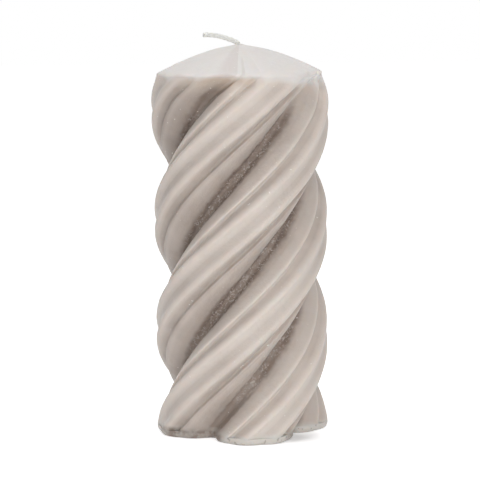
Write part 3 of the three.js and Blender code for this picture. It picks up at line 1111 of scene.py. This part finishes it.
# %% [markdown]
# ## The wick
# A pillar's wick is three cotton yarns plaited flat and primed with wax. Each yarn swings from side
# to side once a repeat and over and under twice. It is drawn as a straight curve with a round
# bevel, and the Curve modifier then leads the whole plait up the bore and over to its cut end.

# %% Plait
YARNS = 3
YARN_RADIUS = 0.62 * MM
YARN_SWING = 0.58 * MM
YARN_LIFT = 0.56 * MM
PRIMING_RADIUS = 1.08 * MM
REPEAT = 7.2 * MM
STEPS_IN_REPEAT = 14
WICK_LOW = 0.5 * MM
STUB_SPAN = 17.2 * MM
STUB_RISE = 4.9 * MM
BEND_RADIUS = 2.6 * MM
BEND_ANGLE = math.radians(65)
BEND_STEPS = 4
BEND_HEIGHT = TIP_HEIGHT - 1 * MM
STUB_ROUTE = [(0.36, 0.65), (0.7, 0.95), (1, 1)]


def wick_route():
    """Points of the wick's middle line, from its lower end to its cut end."""
    points = [Vector((0, 0, WICK_LOW))]
    points += [Vector((0, 0, BEND_HEIGHT - n * BEND_RADIUS)) for n in (2, 1, 0)]
    for step in range(1, BEND_STEPS + 1):
        angle = BEND_ANGLE * step / BEND_STEPS
        x = BEND_RADIUS * (math.cos(angle) - 1)
        points.append(Vector((x, 0, BEND_HEIGHT + BEND_RADIUS * math.sin(angle))))
    for out, up in STUB_ROUTE:
        points.append(Vector((-STUB_SPAN * out, 0, TIP_HEIGHT + STUB_RISE * up)))
    return points


def curve_object(name, points, kind, **settings):
    """A curve through points, as an object of its own."""
    data = bpy.data.curves.new(name, "CURVE")
    data.dimensions = "3D"
    for key, value in settings.items():
        setattr(data, key, value)
    spline = data.splines.new(kind)
    slots = spline.bezier_points if kind == "BEZIER" else spline.points
    slots.add(len(points) - 1)
    for slot, point in zip(slots, points):
        slot.co = point if kind == "BEZIER" else (*point, 1)
        if kind == "BEZIER":
            slot.handle_left_type = slot.handle_right_type = "AUTO"
    made = bpy.data.objects.new(name, data)
    bpy.context.scene.collection.objects.link(made)
    return made


route = curve_object("wick_route", wick_route(), "BEZIER", resolution_u=24)
wick_length = route.data.splines[0].calc_length()
print("wick", round(wick_length / MM, 1), "mm long")

# %% Plait the yarns and bend them
ROUND_ROD = {"bevel_resolution": 3, "use_fill_caps": True}

yarns = []
count = int(wick_length / REPEAT * STEPS_IN_REPEAT)
for number in range(YARNS):
    phase = 2 * math.pi * number / YARNS
    points = []
    for step in range(count + 1):
        height = wick_length * step / count
        swing = 2 * math.pi * height / REPEAT + phase
        across = YARN_SWING * math.sin(swing)
        points.append(Vector((across, YARN_LIFT * math.sin(2 * swing), height)))
    name = f"yarn_{number}"
    yarns.append(curve_object(name, points, "POLY", bevel_depth=YARN_RADIUS, **ROUND_ROD))
straight = [Vector((0, 0, wick_length * step / count)) for step in range(count + 1)]
yarns.append(curve_object("priming", straight, "POLY", bevel_depth=PRIMING_RADIUS, **ROUND_ROD))

bpy.ops.object.select_all(action="DESELECT")
for yarn in yarns:
    yarn.select_set(True)
bpy.context.view_layer.objects.active = yarns[0]
bpy.ops.object.convert(target="MESH")
bpy.ops.object.join()
wick = bpy.context.object
wick.name = "braided_wick"
rest = wick.data.attributes.new("rest_place", "FLOAT_VECTOR", "POINT")
rest.data.foreach_set("vector", [c for vertex in wick.data.vertices for c in vertex.co])
bend = wick.modifiers.new("bend", "CURVE")
bend.object = route
bend.deform_axis = "POS_Z"
bpy.ops.object.modifier_apply(modifier="bend")
bpy.data.objects.remove(route)
finish_piece(wick, "wick")
cut_end = min((vertex.co for vertex in wick.data.vertices), key=lambda co: co.x)
print("wick ends at", [round(c / MM, 1) for c in cut_end])

# %% [markdown]
# The cotton is off-white. Its fibres are a pattern on the straight plait, kept as an attribute
# from before the bend, so they run along the wick all the way.

# %% Primed cotton
COTTON_LIGHT = (0.96, 0.95, 0.87)
COTTON_DARK = (0.92, 0.91, 0.80)
FIBRE_STRETCH = (1, 1, 0.12)
FIBRE_DEPTH = 0.05 * MM

cotton, tree, shader = new_material("primed_cotton")
laid = add_node(tree, "ShaderNodeAttribute", attribute_name="rest_place").outputs["Vector"]
stretch = add_node(tree, "ShaderNodeMapping")
stretch.inputs["Scale"].default_value = FIBRE_STRETCH
tree.links.new(laid, stretch.inputs["Vector"])
fibres = noise(tree, stretch.outputs["Vector"], 5200, detail=3, roughness=0.65)
fibre_share = remap(tree, fibres, 0.35, 0.6, 0, 1)
tree.links.new(blend(tree, fibre_share, COTTON_DARK, COTTON_LIGHT), shader.inputs["Base Color"])
tree.links.new(remap(tree, fibres, 0.3, 0.7, 0.85, 0.6), shader.inputs["Roughness"])
tree.links.new(bump(tree, fibres, FIBRE_DEPTH), shader.inputs["Normal"])
shader.inputs["Subsurface Weight"].default_value = 0.5
shader.inputs["Subsurface Radius"].default_value = (1.0, 0.95, 0.8)
shader.inputs["Subsurface Scale"].default_value = 0.6 * MM
shader.inputs["Sheen Weight"].default_value = 0.2
shader.inputs["Sheen Roughness"].default_value = 0.5
wick.data.materials.append(cotton)
print("cotton nodes:", len(tree.nodes))

# %% [markdown]
# ## The sustainer
# The tinned tab under the base is the solid itself: its shape is right, and it only needs its
# metal. Tinplate is bright with a fine rolled grain and dull spots where it was handled.

# %% Tinplate
TIN = (0.66, 0.665, 0.67)
TIN_DULL = (0.48, 0.48, 0.475)
GRAIN_STRETCH = (1, 14, 1)
GRAIN_DEPTH = 0.02 * MM

tin, tree, shader = new_material("tinplate")
place = own_place(tree)
rolled = add_node(tree, "ShaderNodeMapping")
rolled.inputs["Scale"].default_value = GRAIN_STRETCH
tree.links.new(place, rolled.inputs["Vector"])
grain = noise(tree, rolled.outputs["Vector"], 900, detail=3)
spots = remap(tree, noise(tree, place, 500, detail=2), 0.5, 0.65, 0, 1)
tree.links.new(blend(tree, spots, TIN, TIN_DULL), shader.inputs["Base Color"])
tree.links.new(remap(tree, grain, 0.3, 0.7, 0.25, 0.45), shader.inputs["Roughness"])
tree.links.new(bump(tree, grain, GRAIN_DEPTH), shader.inputs["Normal"])
shader.inputs["Metallic"].default_value = 1
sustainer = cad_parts["wick_sustainer"]
sustainer.data.materials.clear()
sustainer.data.materials.append(tin)
print("sustainer wears", sustainer.data.materials[0].name)
